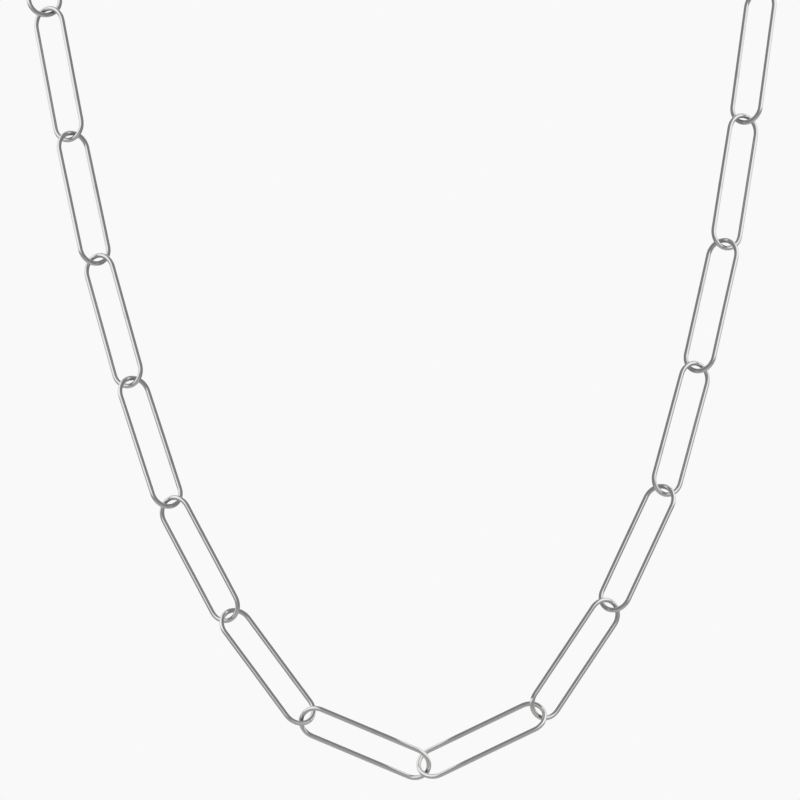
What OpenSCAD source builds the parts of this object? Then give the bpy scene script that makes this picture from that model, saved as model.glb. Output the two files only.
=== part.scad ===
// Paperclip chain necklace: 32 alike round-wire links and a spring-ring clasp, hung as if worn.
// Millimetres. +Z is up, -Y is the wearer's front and +X the right side of a front view.
// The origin is at the nape, on the face of the clasp that lies on the neck.

/* [Link] */
// Length of a link over its round ends
link_len = 17; // [12:0.5:20]
// Width of a link over its two long wires
link_w = 4.5; // [4.2:0.1:5]
// Diameter of the round wire
wire_d = 0.58; // [0.5:0.01:0.6]

/* [Hang of the chain] */
// Lean of the front stretch: its top stands this far back, in degrees from the vertical
front_lean = 10; // [6:1:14]
// Turn of each front link about its own length, one way and then the other
front_roll = 33; // [30:1:37]
// The same turn for the links that go round the neck
back_roll = 45; // [43:1:50]
// The same turn for the last link, which the clasp holds
nape_roll = 75; // [65:1:80]
// How far a link's end reaches past its joint in the stretch round the neck
back_overlap = 0.38; // [0.36:0.01:0.5]

/* [Clasp] */
// Outside diameter of the clasp's ring
ring_d = 7; // [6.6:0.1:9]
// Thickness of the ring's open stretch
ring_wire = 1.2; // [1:0.1:1.3]
// Thickness of the barrel that is half of the ring
barrel_wire = 1.5; // [1.3:0.1:1.6]
// Outside diameter of the small soldered eye
eye_d = 3.6; // [3.4:0.1:4]
// Thickness of the eye's wire
eye_wire = 0.7; // [0.6:0.05:0.8]

/* [Hidden] */
$fn = 48;

// The links of one half, from the bottom of the front to the nape, in degrees.
// Column 0, rise: slope above level. Column 1, turn: 0 points sideways, 90 back, 180 inwards.
RISE = 0;
TURN = 1;
course = [
    [24.4, 0], [55.1, 0], [63.7, 0], [73.4, 0], [75.9, 0], [79.4, 0], [80.6, 0],
    [74, 46], [61, 58], [45, 74], [32, 87], [23, 101], [17, 118], [11, 138], [6, 158], [2, undef]
];
half_count = len(course);

// Reach past the joint at the lower end of each front link: most where the chain bends most
front_overlap = [0.55, 0.5, 0.49, 0.46, 0.45, 0.47, 0.41];
front_count = len(front_overlap);

// The wire's centre line: half its length, the radius of its ends and half of its straights
half_run = (link_len - wire_d) / 2;
end_r = (link_w - wire_d) / 2;
half_straight = half_run - end_r;

// The clasp lies flat on the neck, ring on the right and eye on the left
ring_r = (ring_d - ring_wire) / 2;
eye_r = (eye_d - eye_wire) / 2;
solder = 0.25;
ring_to_eye = (ring_d + eye_d) / 2 - solder;
seat_gap = 0.26;
ring_grip = (ring_wire + wire_d) / 2 + seat_gap - back_overlap;
eye_grip = (eye_wire + wire_d) / 2 + seat_gap - back_overlap;
clasp_reach = (ring_to_eye + ring_r + eye_r - ring_grip - eye_grip) / 2;
ring_x = clasp_reach - ring_r + ring_grip;
eye_x = ring_x - ring_to_eye;

// Link i: the lean it stands in, its reach past its lower joint and the way between its joints
function lean(i) = i < front_count ? front_lean : 0;
function overlap(i) = i < front_count ? front_overlap[i] : back_overlap;
function span(i) = 2 * half_run - overlap(i) - overlap(i + 1);

// A unit vector: the slope and turn are set first, then the whole leans back about X
function heading(rise, turn, lean) = [
    cos(rise) * cos(turn),
    cos(rise) * sin(turn) * cos(lean) + sin(rise) * sin(lean),
    sin(rise) * cos(lean) - cos(rise) * sin(turn) * sin(lean)
];
function along(i) = span(i) * heading(course[i][RISE], course[i][TURN], lean(i));

// Joint i is the lower end of link i. The last link turns just far enough to meet the clasp.
function joint(i) = i == 0 ? [0, 0, 0] : joint(i - 1) + along(i - 1);
last = half_count - 1;
last_joint = joint(last);
last_rise = course[last][RISE];
last_turn = acos((clasp_reach - last_joint.x) / (span(last) * cos(last_rise)));
function turn(i) = i < last ? course[i][TURN] : last_turn;
nape_joint = last_joint + span(last) * heading(last_rise, last_turn, lean(last));

// How far each link is turned about its own length, one way and then the other
function roll(i) = i < front_count ? front_roll : i < last ? back_roll : nape_roll;

// A front link is also twisted, which takes back a share of the lean, so that both halves show
// their links equally wide. The next link's twist eases the step from the lean to the turns.
lean_share = 0.6;
ease = -20;
function twist(i) =
    i < front_count ? lean_share * front_lean * cos(course[i][RISE])
    : i == front_count ? ease
    : 0;

// The nape joint stands this far behind the origin, which is on the barrel's face
clasp_depth = barrel_wire / 2;
base = [0, clasp_depth - nape_joint.y, -nape_joint.z];

function link_name(side, i) = str(side, i < 9 ? "_link_0" : "_link_", i + 1);

// A round wire bent in part of a circle about the Y axis, with its middle towards +X
module bend(radius, thickness, sweep) {
    rotate([90, 0, 0])
        rotate_extrude(angle = sweep, start = -sweep / 2)
            translate([radius, 0])
                circle(d = thickness);
}

// A closed link, its length along X and its width along Z
module wire_link() {
    color("silver")
        for (way = [0, 180])
            rotate([0, way, 0]) {
                translate([half_straight, 0, 0])
                    bend(end_r, wire_d, 180);
                translate([-half_straight, 0, end_r])
                    rotate([0, 90, 0])
                        cylinder(h = 2 * half_straight, d = wire_d);
            }
}

// Link i of the right half, in its place. way is 1 or -1, the sense of its roll.
module hung_link(i, way) {
    translate(base + joint(i))
        rotate([-lean(i), 0, 0])
            rotate([0, -course[i][RISE], turn(i)])
                translate([half_run - overlap(i), 0, 0])
                    rotate([way * roll(i) + twist(i), 0, 0])
                        wire_link();
}

module right_link(i) {
    hung_link(i, i % 2 == 0 ? -1 : 1);
}

module left_link(i) {
    mirror([1, 0, 0])
        hung_link(i, i % 2 == 0 ? 1 : -1);
}

module clasp() {
    stud_d = 0.9;
    stud_h = 1.1;
    stud_at = 55;
    barrel_sweep = 130;
    color("silver")
        translate([0, clasp_depth, 0]) {
            translate([ring_x, 0, 0]) {
                bend(ring_r, ring_wire, 360);
                rotate([0, -90, 0])
                    bend(ring_r, barrel_wire, barrel_sweep);
                rotate([0, -stud_at, 0])
                    translate([ring_r, 0, 0])
                        rotate([0, 90, 0])
                            cylinder(h = barrel_wire / 2 + stud_h, d = stud_d);
            }
            translate([eye_x, 0, 0])
                bend(eye_r, eye_wire, 360);
        }
}

for (i = [0 : last])
    right_link(i);
for (i = [0 : last])
    left_link(i);
clasp();
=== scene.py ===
"""Paperclip chain necklace of polished silver wire links, hung as if worn.

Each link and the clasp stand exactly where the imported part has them. Metres, +Z up, -Y the front.
"""

from math import cos, pi, radians, sin

import bmesh
import bpy
import numpy as np
from mathutils import Matrix, Vector


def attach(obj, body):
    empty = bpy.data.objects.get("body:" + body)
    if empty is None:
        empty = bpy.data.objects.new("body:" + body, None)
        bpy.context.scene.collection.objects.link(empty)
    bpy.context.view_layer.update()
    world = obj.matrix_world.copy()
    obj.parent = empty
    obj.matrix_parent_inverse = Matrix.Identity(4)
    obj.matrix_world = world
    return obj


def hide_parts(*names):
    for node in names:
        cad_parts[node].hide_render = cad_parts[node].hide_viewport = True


bl_info = {
    "name": "Paperclip Chain Necklace",
    "version": (1, 0, 0),
    "blender": (4, 5, 0),
    "location": "View3D > Sidebar > Necklace",
    "description": "Builds the links, the clasp and the studio of a paperclip chain necklace",
    "category": "Object",
}

MM = 0.001

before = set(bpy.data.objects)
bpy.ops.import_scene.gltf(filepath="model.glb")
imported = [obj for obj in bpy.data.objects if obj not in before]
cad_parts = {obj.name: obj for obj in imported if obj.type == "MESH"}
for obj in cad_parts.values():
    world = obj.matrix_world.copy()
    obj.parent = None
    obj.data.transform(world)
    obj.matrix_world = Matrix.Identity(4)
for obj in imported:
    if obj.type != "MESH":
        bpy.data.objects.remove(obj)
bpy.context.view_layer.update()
LINK_NODES = sorted(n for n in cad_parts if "_link_" in n)


def link_axes(node):
    """A link's centre, its own axes (along, across, through) and its size along each of them."""
    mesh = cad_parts[node].data
    points = np.empty(len(mesh.vertices) * 3)
    mesh.vertices.foreach_get("co", points)
    points = points.reshape(-1, 3)
    middle = (points.max(0) + points.min(0)) / 2
    spread, axes = np.linalg.eigh(np.cov((points - middle).T))
    axes = axes[:, np.argsort(spread)[::-1]].T
    # An eigenvector may point either way, so the first two are turned upwards
    if axes[0][2] < 0:
        axes[0] = -axes[0]
    if axes[1][2] < 0:
        axes[1] = -axes[1]
    axes[2] = np.cross(axes[0], axes[1])
    along = (points - middle) @ axes.T
    centre = middle + ((along.max(0) + along.min(0)) / 2) @ axes
    return Vector(centre), [Vector(a) for a in axes], np.ptp(along, axis=0)


LINK_SIZE = link_axes(LINK_NODES[0])[2]


# Settings


class LinkSettings(bpy.types.PropertyGroup):
    """Sizes of the round-wire links."""

    length: bpy.props.FloatProperty(
        name="Length",
        description="Length of a link over its round ends",
        default=float(LINK_SIZE[0]),
        unit="LENGTH",
    )
    width: bpy.props.FloatProperty(
        name="Width",
        description="Width of a link over its two long wires",
        default=float(LINK_SIZE[1]),
        unit="LENGTH",
    )
    wire: bpy.props.FloatProperty(
        name="Wire",
        description="Diameter of the round wire",
        default=float(LINK_SIZE[2]),
        unit="LENGTH",
    )
    waver: bpy.props.FloatProperty(
        name="Waver",
        description="How far the hand-bent wire strays from a true line",
        default=0.008 * MM,
        unit="LENGTH",
    )
    seam: bpy.props.FloatProperty(
        name="Solder seam",
        description="How far the filed solder seam stands proud, as a part of the wire's radius",
        default=0.03,
        subtype="FACTOR",
    )


class ClaspSettings(bpy.types.PropertyGroup):
    """Sizes of the spring-ring clasp."""

    ring: bpy.props.FloatProperty(
        name="Ring",
        description="Outside diameter of the ring",
        default=7 * MM,
        unit="LENGTH",
    )
    ring_wire: bpy.props.FloatProperty(
        name="Ring wire",
        description="Thickness of the ring's open stretch",
        default=1.2 * MM,
        unit="LENGTH",
    )
    barrel: bpy.props.FloatProperty(
        name="Barrel",
        description="Thickness of the barrel",
        default=1.5 * MM,
        unit="LENGTH",
    )
    barrel_sweep: bpy.props.FloatProperty(
        name="Barrel sweep",
        description="How far round the ring the barrel goes",
        default=radians(130),
        subtype="ANGLE",
    )
    eye: bpy.props.FloatProperty(
        name="Eye",
        description="Outside diameter of the soldered eye",
        default=3.6 * MM,
        unit="LENGTH",
    )
    eye_wire: bpy.props.FloatProperty(
        name="Eye wire",
        description="Thickness of the eye's wire",
        default=0.7 * MM,
        unit="LENGTH",
    )
    stud: bpy.props.FloatProperty(
        name="Stud",
        description="Diameter of the thumb stud's head",
        default=0.9 * MM,
        unit="LENGTH",
    )
    stud_height: bpy.props.FloatProperty(
        name="Stud height",
        description="How far the thumb stud stands out of the barrel",
        default=1.1 * MM,
        unit="LENGTH",
    )
    stud_at: bpy.props.FloatProperty(
        name="Stud place",
        description="Angle of the thumb stud round the ring",
        default=radians(55),
        subtype="ANGLE",
    )


class SilverSettings(bpy.types.PropertyGroup):
    """Colours and finish of the silver."""

    bright: bpy.props.FloatVectorProperty(
        name="Bright",
        description="Colour of the polished silver",
        default=(0.93, 0.93, 0.925),
        subtype="COLOR",
        min=0,
        max=1,
    )
    # Dark colour for both the tarnish and the painted shade in the crevices
    tarnish: bpy.props.FloatVectorProperty(
        name="Tarnish",
        description="Colour of the silver where polish doesn't reach",
        default=(0.30, 0.29, 0.28),
        subtype="COLOR",
        min=0,
        max=1,
    )
    polish: bpy.props.FloatProperty(
        name="Roughness",
        description="Roughness of the polished wire",
        default=0.09,
        subtype="FACTOR",
    )


class StageSettings(bpy.types.PropertyGroup):
    """Camera and light."""

    backdrop: bpy.props.FloatProperty(
        name="Backdrop",
        description="Brightness of the plain pale surroundings",
        default=0.947,
    )
    roll: bpy.props.FloatProperty(
        name="Camera roll",
        description="How far the picture is turned about its middle",
        default=radians(1.44),
        subtype="ANGLE",
    )
    lens: bpy.props.FloatProperty(
        name="Lens",
        description="Focal length in millimetres on a 36 mm sensor",
        default=456.2,
    )
    distance: bpy.props.FloatProperty(
        name="Distance",
        description="From the camera to the plane that it aims at",
        default=1.22,
        unit="LENGTH",
    )


# Node helpers

# The colour sockets of a Mix node, which share their names with its sockets for plain numbers
MIX_A, MIX_B, MIX_RESULT = 6, 7, 2


def add_node(tree, kind, x, y, **values):
    """Adds a node to a tree. Each value is an attribute of it, or else its input of that name."""
    node = tree.nodes.new(kind)
    node.location = (x, y)
    for key, value in values.items():
        if hasattr(node, key):
            setattr(node, key, value)
        else:
            node.inputs[key.replace("_", " ").title()].default_value = value
    return node


def soft_step(tree, value, start, end, low, high, x, y):
    """A soft step from low to high, as value goes from start to end."""
    node = add_node(
        tree,
        "ShaderNodeMapRange",
        x,
        y,
        interpolation_type="SMOOTHSTEP",
        from_min=start,
        from_max=end,
        to_min=low,
        to_max=high,
    )
    tree.links.new(value, node.inputs["Value"])
    return node.outputs["Result"]


def combine(tree, operation, a, b, x, y):
    """Works out one value from two. The second may be a plain number."""
    node = add_node(tree, "ShaderNodeMath", x, y, operation=operation)
    tree.links.new(a, node.inputs[0])
    if isinstance(b, float):
        node.inputs[1].default_value = b
    else:
        tree.links.new(b, node.inputs[1])
    return node.outputs[0]


def new_group(name, inputs, outputs):
    """An empty shader node group with named sockets, and its two end nodes."""
    group = bpy.data.node_groups.new(name, "ShaderNodeTree")
    for label, kind, default in inputs:
        socket = group.interface.new_socket(label, in_out="INPUT", socket_type=kind)
        socket.default_value = default
    for label, kind in outputs:
        group.interface.new_socket(label, in_out="OUTPUT", socket_type=kind)
    start = add_node(group, "NodeGroupInput", -900, 0)
    end = add_node(group, "NodeGroupOutput", 600, 0)
    return group, start, end


# Silver


def draw_lines_group():
    """Fine lines along the wire, left by the die that it was drawn through."""
    group, start, end = new_group(
        "Draw lines",
        [
            ("Lines Round", "NodeSocketFloat", 9.0),
            ("Lines Along", "NodeSocketFloat", 0.06),
        ],
        [("Lines", "NodeSocketFloat")],
    )
    links = group.links
    wire_map = add_node(group, "ShaderNodeUVMap", -900, 300, uv_map="Wire")
    split = add_node(group, "ShaderNodeSeparateXYZ", -700, 300)
    links.new(wire_map.outputs["UV"], split.inputs["Vector"])
    join = add_node(group, "ShaderNodeCombineXYZ", -300, 300)
    for axis, stretch, y in (("X", "Lines Along", 350), ("Y", "Lines Round", 200)):
        stretched = combine(
            group, "MULTIPLY", split.outputs[axis], start.outputs[stretch], -500, y
        )
        links.new(stretched, join.inputs[axis])
    noise = add_node(group, "ShaderNodeTexNoise", -100, 300, scale=1.0, detail=3.0)
    links.new(join.outputs["Vector"], noise.inputs["Vector"])
    links.new(noise.outputs["Fac"], end.inputs["Lines"])
    return group


def handling_group():
    """Short hair scratches and soft smears from handling."""
    group, start, end = new_group(
        "Handling",
        [
            ("Scratch Scale", "NodeSocketFloat", 2.2),
            ("Smear Scale", "NodeSocketFloat", 0.6),
        ],
        [("Scratches", "NodeSocketFloat"), ("Smears", "NodeSocketFloat")],
    )
    links = group.links
    wire_map = add_node(group, "ShaderNodeUVMap", -900, 300, uv_map="Wire")
    turned = add_node(group, "ShaderNodeMapping", -700, 300)
    turned.inputs["Rotation"].default_value = (0, 0, radians(37))
    turned.inputs["Scale"].default_value = (0.5, 9.0, 1.0)
    links.new(wire_map.outputs["UV"], turned.inputs["Vector"])
    hairs = add_node(group, "ShaderNodeTexNoise", -500, 300, detail=2.0)
    links.new(turned.outputs["Vector"], hairs.inputs["Vector"])
    links.new(start.outputs["Scratch Scale"], hairs.inputs["Scale"])
    thin = add_node(group, "ShaderNodeValToRGB", -250, 300)
    none, full = thin.color_ramp.elements
    none.position = 0.62
    full.position = 0.70
    links.new(hairs.outputs["Fac"], thin.inputs["Fac"])
    links.new(thin.outputs["Color"], end.inputs["Scratches"])
    smears = add_node(group, "ShaderNodeTexNoise", -500, 0, detail=2.0)
    links.new(wire_map.outputs["UV"], smears.inputs["Vector"])
    links.new(start.outputs["Smear Scale"], smears.inputs["Scale"])
    links.new(smears.outputs["Fac"], end.inputs["Smears"])
    return group


def tarnish_and_shade_group():
    """Silver that dulls and darkens with tarnish where polish doesn't reach, and with painted shade
    where the links sit in each other.
    """
    group, start, end = new_group(
        "Tarnish",
        [
            ("Bright", "NodeSocketColor", (0.93, 0.93, 0.925, 1)),
            ("Tarnish", "NodeSocketColor", (0.30, 0.29, 0.28, 1)),
            ("Amount", "NodeSocketFloat", 0.5),
            ("Painted Shade", "NodeSocketFloat", 0.8),
        ],
        [("Color", "NodeSocketColor"), ("Mask", "NodeSocketFloat")],
    )
    links = group.links
    # The dark marks that each mesh carries, broken up by a fine cloud: tarnish, and painted shade
    # at the inner sides of the links' round ends
    place = add_node(group, "ShaderNodeTexCoord", -1100, 500)
    cloud = add_node(group, "ShaderNodeTexNoise", -900, 500, scale=1400.0, detail=3.0)
    links.new(place.outputs["Object"], cloud.inputs["Vector"])
    uneven = soft_step(group, cloud.outputs["Fac"], 0.3, 0.7, 0.55, 1.0, -650, 500)
    tarnish_and_shade_mark = add_node(group, "ShaderNodeAttribute", -900, 300, attribute_name="tarnish_and_shade_mark")
    marked = combine(group, "MULTIPLY", tarnish_and_shade_mark.outputs["Fac"], uneven, -400, 400)
    marked = combine(group, "MULTIPLY", marked, start.outputs["Amount"], -200, 400)
    # Painted shade in the crevices: darker where two wires come close
    near = add_node(
        group, "ShaderNodeAmbientOcclusion", -650, 0, samples=8, distance=0.6 * MM
    )
    close = soft_step(group, near.outputs["AO"], 0.95, 0.6, 0.0, 1.0, -400, 0)
    painted_shade = combine(group, "MULTIPLY", close, start.outputs["Painted Shade"], -200, 0)
    mask = combine(group, "MAXIMUM", marked, painted_shade, 0, 300)
    mix = add_node(group, "ShaderNodeMix", 200, 200, data_type="RGBA")
    links.new(mask, mix.inputs["Factor"])
    links.new(start.outputs["Bright"], mix.inputs[MIX_A])
    links.new(start.outputs["Tarnish"], mix.inputs[MIX_B])
    links.new(mix.outputs[MIX_RESULT], end.inputs["Color"])
    links.new(mask, end.inputs["Mask"])
    return group


def place_group(tree, name, maker, x, y, **values):
    """Places a node group, which is made the first time that it is asked for."""
    group = bpy.data.node_groups.get(name) or maker()
    return add_node(tree, "ShaderNodeGroup", x, y, node_tree=group, **values)


def silver_material(name, lines_round, tarnish_and_shade_amount, rough_extra):
    """Polished silver with draw lines, hair scratches, a little tarnish in the hollows and painted
    shade in the crevices between wires.
    """
    found = bpy.data.materials.get(name)
    if found:
        return found
    look = bpy.context.scene.necklace_silver
    material = bpy.data.materials.new(name)
    material.use_nodes = True
    tree = material.node_tree
    links = tree.links
    shader = tree.nodes["Principled BSDF"]
    shader.inputs["Metallic"].default_value = 1.0

    # Tarnish, and painted shade in the crevices, darken the base colour
    tarnish = place_group(
        tree,
        "Tarnish",
        tarnish_and_shade_group,
        -700,
        400,
        bright=(*look.bright, 1),
        tarnish=(*look.tarnish, 1),
        amount=tarnish_and_shade_amount,
    )
    lines = place_group(
        tree, "Draw lines", draw_lines_group, -1000, 0, lines_round=lines_round
    )
    handling = place_group(tree, "Handling", handling_group, -1000, -250)
    links.new(tarnish.outputs["Color"], shader.inputs["Base Color"])

    # How much each kind of mark adds to the roughness of the polish
    marks = (
        (lines.outputs["Lines"], 0.05),
        (handling.outputs["Smears"], 0.05),
        (handling.outputs["Scratches"], 0.08),
        (tarnish.outputs["Mask"], 0.22),
    )
    rough = None
    for column, (mark, weight) in enumerate(marks):
        x = -700 + 180 * column
        added = add_node(tree, "ShaderNodeMath", x, 0, operation="MULTIPLY_ADD")
        value, factor, total = added.inputs
        links.new(mark, value)
        factor.default_value = weight
        if rough is None:
            total.default_value = look.polish + rough_extra
        else:
            links.new(rough, total)
        rough = added.outputs[0]
    links.new(rough, shader.inputs["Roughness"])

    height = combine(
        tree,
        "SUBTRACT",
        lines.outputs["Lines"],
        handling.outputs["Scratches"],
        -520,
        -300,
    )
    bump = add_node(
        tree, "ShaderNodeBump", -250, -300, strength=0.05, distance=0.01 * MM
    )
    links.new(height, bump.inputs["Height"])
    links.new(bump.outputs["Normal"], shader.inputs["Normal"])
    return material


# Wire shapes


def stadium(length, width, wire, straight_rings, end_rings):
    """Points, outward directions, bend mask and run of a long closed link's centre line.

    The link lies along X, with its width along Y.
    """
    end_r = (width - wire) / 2
    half = (length - wire) / 2 - end_r
    points, outward, bend = [], [], []
    for flip in (1, -1):
        side = Vector((0, flip, 0))
        for step in range(straight_rings):
            along = half - 2 * half * step / straight_rings
            points.append(Vector((flip * along, 0, 0)) + side * end_r)
            outward.append(side)
            bend.append(0.0)
        for step in range(end_rings):
            angle = pi / 2 + pi * step / end_rings
            out = Vector((cos(angle), sin(angle), 0)) * flip
            points.append(Vector((-flip * half, 0, 0)) + out * end_r)
            outward.append(out)
            bend.append(abs(cos(angle)) ** 0.5)
    run = [0.0]
    for a, b in zip(points, points[1:] + points[:1]):
        run.append(run[-1] + (b - a).length)
    return points, outward, bend, run


def ring_line(centre, radius, angles):
    """Points, outward directions and run of a circle at these angles from +X, in the XZ plane."""
    outward = [Vector((cos(a), 0, sin(a))) for a in angles]
    points = [centre + out * radius for out in outward]
    step = abs(angles[-1] - angles[-2])
    run = [radius * abs(a - angles[0]) for a in angles]
    return points, outward, run + [run[-1] + radius * step]


def full_circle(count):
    """Evenly spaced angles all round."""
    return [2 * pi * k / count for k in range(count)]


def turn_between(a, b):
    """The shorter way between two angles, without a sign."""
    return abs((a - b + pi) % (2 * pi) - pi)


def soft(distance, width):
    """1 at no distance, falling softly to 0 at about this width."""
    return float(np.exp(-((distance / width) ** 2)))


def sweep_wire(
    mesh, points, outward, through, run, radius_at, tarnish_and_shade_at, sides, closed=True
):
    """Adds a tube along a plane line to a bmesh.

    radius_at(i, angle) is its radius at ring i, and the second function of (i, angle) how dark a
    mark it gets there: tarnish where polish doesn't reach, and painted shade where the links sit in
    each other.
    """
    maps, marks = mesh.loops.layers.uv, mesh.verts.layers.float
    uv = maps.get("Wire") or maps.new("Wire")
    # Layer of dark marks: tarnish, and painted shade at the inner sides of the links' round ends
    tarnish_and_shade_mark = marks.get("tarnish_and_shade_mark") or marks.new("tarnish_and_shade_mark")
    rings = []
    for i, (point, out) in enumerate(zip(points, outward)):
        ring = []
        for angle in full_circle(sides):
            arm = out * cos(angle) + through * sin(angle)
            vert = mesh.verts.new(point + arm * radius_at(i, angle))
            vert[tarnish_and_shade_mark] = tarnish_and_shade_at(i, angle)
            ring.append(vert)
        rings.append(ring)
    count = len(rings)
    girth = 2 * pi * radius_at(count // 2, 0)
    for i in range(count if closed else count - 1):
        here, there = rings[i], rings[(i + 1) % count]
        u0, u1 = run[i] / MM, run[i + 1] / MM
        for k in range(sides):
            nxt = (k + 1) % sides
            face = mesh.faces.new((here[k], here[nxt], there[nxt], there[k]))
            face.smooth = True
            v0, v1 = girth * k / sides / MM, girth * (k + 1) / sides / MM
            corners = ((u0, v0), (u0, v1), (u1, v1), (u1, v0))
            for loop, place in zip(face.loops, corners):
                loop[uv].uv = place
    if not closed:
        mesh.faces.new(rings[0][::-1])
        mesh.faces.new(rings[-1])


def mesh_data(mesh, name):
    """The bmesh as a mesh, its faces turned outwards."""
    bmesh.ops.recalc_face_normals(mesh, faces=mesh.faces[:])
    data = bpy.data.meshes.new(name)
    mesh.to_mesh(data)
    mesh.free()
    return data


def link_mesh(name, number):
    """One closed link in its own axes: X along, Y across, Z through."""
    size = bpy.context.scene.necklace_links
    points, outward, bend, run = stadium(
        size.length, size.width, size.wire, straight_rings=44, end_rings=30
    )
    around = run[-1]
    through = Vector((0, 0, 1))
    radius = size.wire / 2
    # Each link's own slow bends and its seam's place follow from its number
    own_turn = 2.399
    phase = number * own_turn
    seam_at = around * (0.18 + 0.08 * sin(phase))
    seam_width = 0.35 * MM
    seam_mark = 0.35
    groove_at, groove_width = 1.3, 0.3
    bend_press = 0.035
    for i, out in enumerate(outward):
        turn = 2 * pi * run[i] / around
        points[i] += out * size.waver * (sin(2 * turn + phase) - 1) * 0.5
        points[i] += through * size.waver * 0.5 * sin(3 * turn + 2 * phase)

    def radius_at(i, angle):
        # Bent wire is pressed a little thinner on the outside of the bend
        pressed = 1 - bend_press * bend[i] * max(cos(angle), 0) ** 2
        # The seam is a filed bead, higher on one side, with a fine groove along both its edges
        off = abs(run[i] - seam_at) / seam_width
        bead = soft(off, 1.0) * (0.6 + 0.4 * cos(angle + phase))
        groove = 0.5 * soft(off - groove_at, groove_width)
        return radius * (pressed + size.seam * (bead - groove - 0.5))

    def tarnish_and_shade_at(i, angle):
        # Painted shade: the inner side of each round end, where the next link sits, is marked dark;
        # the seam gets a tarnish mark
        inside = bend[i] ** 2 * max(-cos(angle), 0)
        return max(inside, seam_mark * soft(run[i] - seam_at, 0.5 * MM))

    mesh = bmesh.new()
    sweep_wire(mesh, points, outward, through, run, radius_at, tarnish_and_shade_at, sides=24)
    return mesh_data(mesh, name)


# The clasp lies flat on the neck, so its rings face along Y
CLASP_THROUGH = Vector((0, 1, 0))


def ring_radius(size):
    """Radius of the centre line that the ring's wire and the barrel share."""
    return (size.ring - size.ring_wire) / 2


def barrel_ends(size):
    """Angles at which the barrel begins and ends. Its middle is the top of the ring."""
    top = pi / 2
    return top - size.barrel_sweep / 2, top + size.barrel_sweep / 2


def add_ring(mesh, size, centre):
    """The ring's wire: thinner at the sliding bolt, swelling where the eye is soldered on."""
    ring_r = ring_radius(size)
    bolt_sweep = radians(62)
    bolt_share = 0.84
    bolt_to = barrel_ends(size)[0]
    bolt_from = bolt_to - bolt_sweep
    eye_at = pi
    fillet = 0.10 * MM
    seam_width = 0.3 * MM
    angles = full_circle(150)

    def way(i, place):
        """Way round the ring from ring i to a place, as a length."""
        return turn_between(angles[i], place) * ring_r

    def radius_at(i, angle):
        on_bolt = (angles[i] - bolt_from) % (2 * pi) < bolt_sweep
        reach = size.ring_wire / 2 * (bolt_share if on_bolt else 1.0)
        return reach + fillet * soft(way(i, eye_at), 0.5 * MM) * max(cos(angle), 0)

    def tarnish_and_shade_at(i, angle):
        seam = max(soft(way(i, end), seam_width) for end in (bolt_from, bolt_to))
        inside = 0.5 * max(-cos(angle), 0)
        return max(seam, soft(way(i, eye_at), 0.8 * MM), inside)

    points, outward, run = ring_line(centre, ring_r, angles)
    sweep_wire(
        mesh,
        points,
        outward,
        CLASP_THROUGH,
        run,
        radius_at,
        tarnish_and_shade_at,
        sides=28,
    )


def add_barrel(mesh, size, centre):
    """The barrel, with collars at its rounded ends and the slot that the stud slides in."""
    ring_r = ring_radius(size)
    begin, finish = barrel_ends(size)
    slot_from, slot_to = size.stud_at - radians(5), size.stud_at + radians(38)
    slot_half = radians(16)
    slot_depth = 0.16 * MM
    collar_width = 0.42 * MM
    collar_height = 0.04 * MM
    lip_width = 0.12 * MM
    lip_share = 0.14
    # The rings stand close together at both ends, for their round lips, and evenly between them
    lip_turns = [radians(degrees) for degrees in (0, 0.25, 0.8, 1.7, 3.0, 4.5)]
    first_even, steps = radians(5.5), 56
    step = (size.barrel_sweep - 2 * first_even) / steps
    sleeve = [begin + turn for turn in lip_turns]
    sleeve += [begin + first_even + step * k for k in range(steps + 1)]
    sleeve += [finish - turn for turn in lip_turns[::-1]]

    def to_end(i):
        """Way from ring i to the nearer end of the barrel, as a length."""
        return min(sleeve[i] - begin, finish - sleeve[i]) * ring_r

    def in_slot(i, angle):
        return slot_from < sleeve[i] < slot_to and turn_between(angle, 0) < slot_half

    def radius_at(i, angle):
        full = size.barrel / 2
        if to_end(i) > collar_width:
            full -= collar_height
        if in_slot(i, angle):
            return full - slot_depth
        lip = max(1 - to_end(i) / lip_width, 0)
        return full * (1 - lip_share * lip**2)

    def tarnish_and_shade_at(i, angle):
        return max(float(in_slot(i, angle)), soft(to_end(i) - 0.45 * MM, 0.1 * MM))

    points, outward, run = ring_line(centre, ring_r, sleeve)
    sweep_wire(
        mesh,
        points,
        outward,
        CLASP_THROUGH,
        run,
        radius_at,
        tarnish_and_shade_at,
        sides=48,
        closed=False,
    )


def add_stud(mesh, size, centre):
    """The thumb stud: a neck out of the slot and a flattened ball for a head."""
    out = Vector((cos(size.stud_at), 0, sin(size.stud_at)))
    tip = size.barrel / 2 + size.stud_height
    head = size.stud / 2
    neck = 0.58 * head
    # Rows are the way out as a share of the tip's, and the radius there
    ball_half = 0.36 * size.stud / tip
    ball_at = 1 - ball_half
    profile = [(0.3, neck), (0.5, neck), (ball_at - 0.86 * ball_half, neck)]
    neck_rows, neck_mark = len(profile), 0.8
    for latitude in range(-48, 85, 12):
        a = radians(latitude)
        profile.append((ball_at + ball_half * sin(a), head * cos(a)))
    points = [centre + out * (ring_radius(size) + tip * share) for share, _ in profile]
    outward = [Vector((-out.z, 0, out.x))] * len(points)
    run = [tip * share for share, _ in profile]

    def radius_at(i, angle):
        return profile[i][1]

    def tarnish_and_shade_at(i, angle):
        return neck_mark if i < neck_rows else 0.0

    sweep_wire(
        mesh,
        points,
        outward,
        CLASP_THROUGH,
        run,
        radius_at,
        tarnish_and_shade_at,
        sides=24,
        closed=False,
    )


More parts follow.
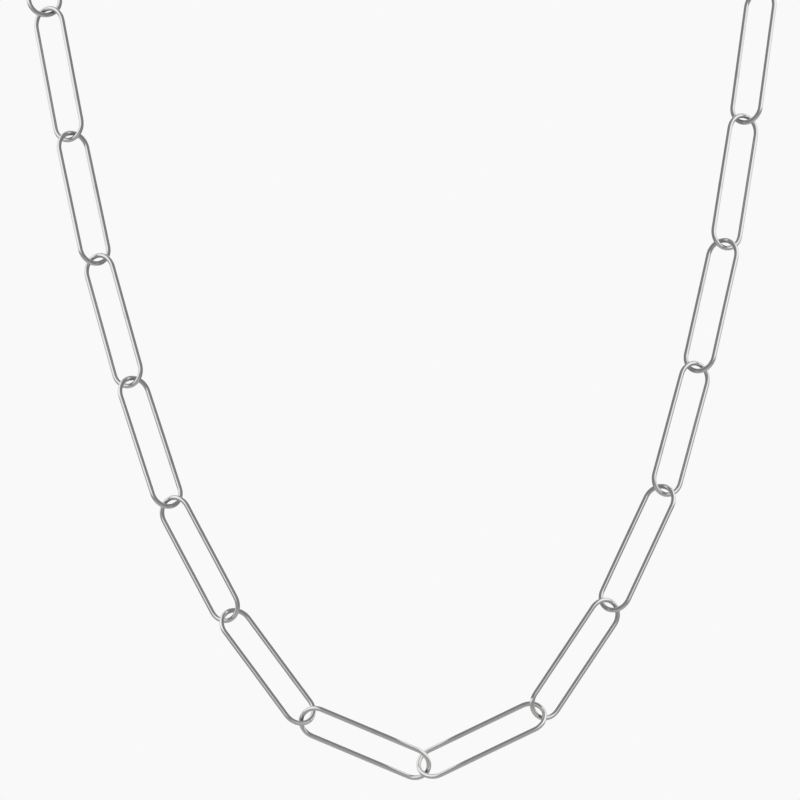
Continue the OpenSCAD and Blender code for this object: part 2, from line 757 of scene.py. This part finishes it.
def add_eye(mesh, size, centre):
    """The eye, swelling where it is soldered to the ring."""
    eye_r = (size.eye - size.eye_wire) / 2
    fillet = 0.08 * MM
    angles = full_circle(96)

    def to_solder(i):
        """Way from ring i to the soldered side, as a length."""
        return turn_between(angles[i], 0) * eye_r

    def radius_at(i, angle):
        return size.eye_wire / 2 + fillet * soft(to_solder(i), 0.45 * MM)

    def tarnish_and_shade_at(i, angle):
        return max(soft(to_solder(i), 0.7 * MM), 0.5 * max(-cos(angle), 0))

    points, outward, run = ring_line(centre, eye_r, angles)
    sweep_wire(
        mesh,
        points,
        outward,
        CLASP_THROUGH,
        run,
        radius_at,
        tarnish_and_shade_at,
        sides=20,
    )


def clasp_mesh(name, ring_centre, eye_centre):
    """A spring ring: ring with its sliding bolt, slotted barrel, thumb stud and soldered eye."""
    size = bpy.context.scene.necklace_clasp
    mesh = bmesh.new()
    add_ring(mesh, size, ring_centre)
    add_barrel(mesh, size, ring_centre)
    add_stud(mesh, size, ring_centre)
    add_eye(mesh, size, eye_centre)
    return mesh_data(mesh, name)


# Pieces


def add_piece(name, data, material, nodes):
    """Puts a mesh in the scene as a piece that rides the root body and replaces its CAD nodes."""
    piece = bpy.data.objects.new(name, data)
    bpy.context.scene.collection.objects.link(piece)
    data.materials.append(material)
    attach(piece, "root")
    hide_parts(*nodes)


class NECKLACE_OT_links(bpy.types.Operator):
    """Bend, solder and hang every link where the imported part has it"""

    bl_idname = "necklace.links"
    bl_label = "Links"

    def execute(self, context):
        if not LINK_NODES:
            raise RuntimeError("the packed part has no link nodes")
        silver = silver_material(
            "link_silver", lines_round=9.0, tarnish_and_shade_amount=0.5, rough_extra=0.0
        )
        for number, node in enumerate(LINK_NODES):
            centre, axes, _ = link_axes(node)
            data = link_mesh(node + "_wire", number)
            place = Matrix([(*a, 0) for a in axes] + [(0, 0, 0, 1)]).transposed()
            data.transform(Matrix.Translation(centre) @ place)
            add_piece(node + "_wire", data, silver, [node])
        return {"FINISHED"}


class NECKLACE_OT_clasp(bpy.types.Operator):
    """Build the spring-ring clasp in place of its plain solid"""

    bl_idname = "necklace.clasp"
    bl_label = "Clasp"

    def execute(self, context):
        silver = silver_material(
            "clasp_silver", lines_round=4.0, tarnish_and_shade_amount=0.6, rough_extra=0.03
        )
        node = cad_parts.get("clasp")
        if node is None:
            raise RuntimeError("the packed part has no clasp node")
        size = context.scene.necklace_clasp
        # The ring is at the right end of the solid's box and the eye at the left
        corners = np.array([node.matrix_world @ Vector(c) for c in node.bound_box])
        low, high = corners.min(0), corners.max(0)
        depth = (low[1] + high[1]) / 2
        level = low[2] + size.ring / 2
        ring = Vector((high[0] - size.ring / 2, depth, level))
        eye = Vector((low[0] + size.eye / 2, depth, level))
        data = clasp_mesh("clasp_spring_ring", ring, eye)
        add_piece("clasp_spring_ring", data, silver, ["clasp"])
        return {"FINISHED"}


class NECKLACE_OT_stage(bpy.types.Operator):
    """Set up the camera, the pale surroundings and the soft light"""

    bl_idname = "necklace.stage"
    bl_label = "Stage"

    def execute(self, context):
        add_camera()
        add_surroundings()
        add_divider()
        add_floor()
        return {"FINISHED"}


# Stage


def add_camera():
    """The camera looks level along +Y at the front of the chain, rolled as in the photo."""
    look = bpy.context.scene.necklace_stage
    picture_middle = Vector((-1.756, -90.0, -112.035)) * MM
    data = bpy.data.cameras.new("camera")
    data.lens = look.lens
    data.clip_start = 0.01
    data.clip_end = 100
    camera = bpy.data.objects.new("camera", data)
    bpy.context.scene.collection.objects.link(camera)
    right = Vector((cos(look.roll), 0, -sin(look.roll)))
    up = Vector((sin(look.roll), 0, cos(look.roll)))
    back = Vector((0, -1, 0))
    turned = Matrix((right, up, back)).transposed().to_4x4()
    moved = Matrix.Translation(picture_middle + back * look.distance)
    camera.matrix_world = moved @ turned
    bpy.context.scene.camera = camera


def add_surroundings():
    """A pale tent: bright at both sides, greyer ahead, below and behind, as the wires mirror it."""
    look = bpy.context.scene.necklace_stage
    world = bpy.data.worlds.new("tent")
    bpy.context.scene.world = world
    world.use_nodes = True
    tree = world.node_tree
    links = tree.links
    tree.nodes.clear()

    # Each direction's brightness in the tent
    place = add_node(tree, "ShaderNodeTexCoord", -1100, 0)
    split = add_node(tree, "ShaderNodeSeparateXYZ", -900, 0)
    links.new(place.outputs["Generated"], split.inputs["Vector"])
    width = add_node(tree, "ShaderNodeMath", -700, 200, operation="ABSOLUTE")
    links.new(split.outputs["X"], width.inputs[0])
    level = split.outputs["Z"]
    side = soft_step(tree, width.outputs[0], 0.0, 0.42, 0.0, 1.0, -450, 300)
    above = soft_step(tree, level, -0.22, 0.06, 0.0, 1.0, -450, 0)
    front = soft_step(tree, split.outputs["Y"], -0.1, 0.6, 1.0, 0.72, -450, -300)
    below = soft_step(tree, level, -0.8, -0.2, 0.12, 0.0, -450, -600)
    side_light, least_light = 0.64, 0.26
    lit = combine(tree, "MULTIPLY", side, above, -200, 200)
    lit = combine(tree, "MULTIPLY", lit, front, -50, 100)
    lit = combine(tree, "MULTIPLY", lit, side_light, 50, 0)
    lit = combine(tree, "ADD", lit, below, 150, -100)
    lit = combine(tree, "ADD", lit, least_light, 250, -200)
    tent = add_node(tree, "ShaderNodeBackground", 400, -50)
    links.new(lit, tent.inputs["Color"])

    # The camera itself sees an even backdrop
    seen = add_node(tree, "ShaderNodeBackground", 400, 150)
    seen.inputs["Color"].default_value = (look.backdrop,) * 3 + (1,)
    path = add_node(tree, "ShaderNodeLightPath", 400, 400)
    mix = add_node(tree, "ShaderNodeMixShader", 650, 0)
    links.new(path.outputs["Is Camera Ray"], mix.inputs[0])
    links.new(tent.outputs[0], mix.inputs[1])
    links.new(seen.outputs[0], mix.inputs[2])
    out = add_node(tree, "ShaderNodeOutputWorld", 900, 0)
    links.new(mix.outputs[0], out.inputs["Surface"])
    bpy.context.scene.view_settings.view_transform = "Standard"


def glow_material(name, level):
    """A plain grey that shines evenly."""
    material = bpy.data.materials.new(name)
    material.use_nodes = True
    tree = material.node_tree
    tree.nodes.clear()
    out = add_node(tree, "ShaderNodeOutputMaterial", 300, 0)
    glow = add_node(tree, "ShaderNodeEmission", 0, 0)
    glow.inputs["Color"].default_value = (level, level, level, 1)
    tree.links.new(glow.outputs[0], out.inputs["Surface"])
    return material


def studio_object(name, data, material):
    """Puts a mesh of the studio in the scene."""
    data.materials.append(material)
    item = bpy.data.objects.new(name, data)
    bpy.context.scene.collection.objects.link(item)
    return item


def add_divider():
    """A dark card between the two halves, which each wire mirrors on its inner side.

    It ends above the lowest joint and ahead of the clasp, so it cuts neither. Only reflections
    show it.
    """
    front, back, low, high = -1.2, -0.03, -0.145, 0.4
    corners = [(0, front, low), (0, back, low), (0, back, high), (0, front, high)]
    data = bpy.data.meshes.new("divider")
    data.from_pydata(corners, [], [(0, 1, 2, 3)])
    card = studio_object("divider", data, glow_material("divider_grey", 0.20))
    card.visible_camera = False
    card.visible_diffuse = False
    card.visible_shadow = False
    card.visible_transmission = False


def add_floor():
    """A plain pale floor under the necklace."""
    look = bpy.context.scene.necklace_stage
    data = bpy.data.meshes.new("floor")
    mesh = bmesh.new()
    bmesh.ops.create_circle(mesh, cap_ends=True, segments=96, radius=0.5)
    mesh.to_mesh(data)
    mesh.free()
    pale = glow_material("floor_white", look.backdrop)
    floor = studio_object("floor", data, pale)
    floor.location = (0, -0.05, -0.2)
    floor.visible_glossy = False


class NECKLACE_PT_build(bpy.types.Panel):
    """Lists the pieces of the necklace in the 3D view's sidebar."""

    bl_label = "Necklace"
    bl_idname = "NECKLACE_PT_build"
    bl_space_type = "VIEW_3D"
    bl_region_type = "UI"
    bl_category = "Necklace"

    def draw(self, context):
        for step in STEPS:
            self.layout.operator(step.bl_idname)
        for name in SETTINGS:
            group = getattr(context.scene, name)
            for prop in group.__annotations__:
                self.layout.prop(group, prop)


SETTINGS = {
    "necklace_links": LinkSettings,
    "necklace_clasp": ClaspSettings,
    "necklace_silver": SilverSettings,
    "necklace_stage": StageSettings,
}
STEPS = (NECKLACE_OT_links, NECKLACE_OT_clasp, NECKLACE_OT_stage)
CLASSES = (*SETTINGS.values(), *STEPS, NECKLACE_PT_build)


def register():
    """Registers the classes and hangs their settings on the scene."""
    for cls in CLASSES:
        bpy.utils.register_class(cls)
    for name, group in SETTINGS.items():
        setattr(bpy.types.Scene, name, bpy.props.PointerProperty(type=group))


def unregister():
    """Takes the settings and the classes away again."""
    for name in SETTINGS:
        delattr(bpy.types.Scene, name)
    for cls in reversed(CLASSES):
        bpy.utils.unregister_class(cls)


def main():
    """Builds the necklace and its stage."""
    register()
    bpy.ops.necklace.links()
    bpy.ops.necklace.clasp()
    bpy.ops.necklace.stage()


if __name__ == "__main__":
    main()
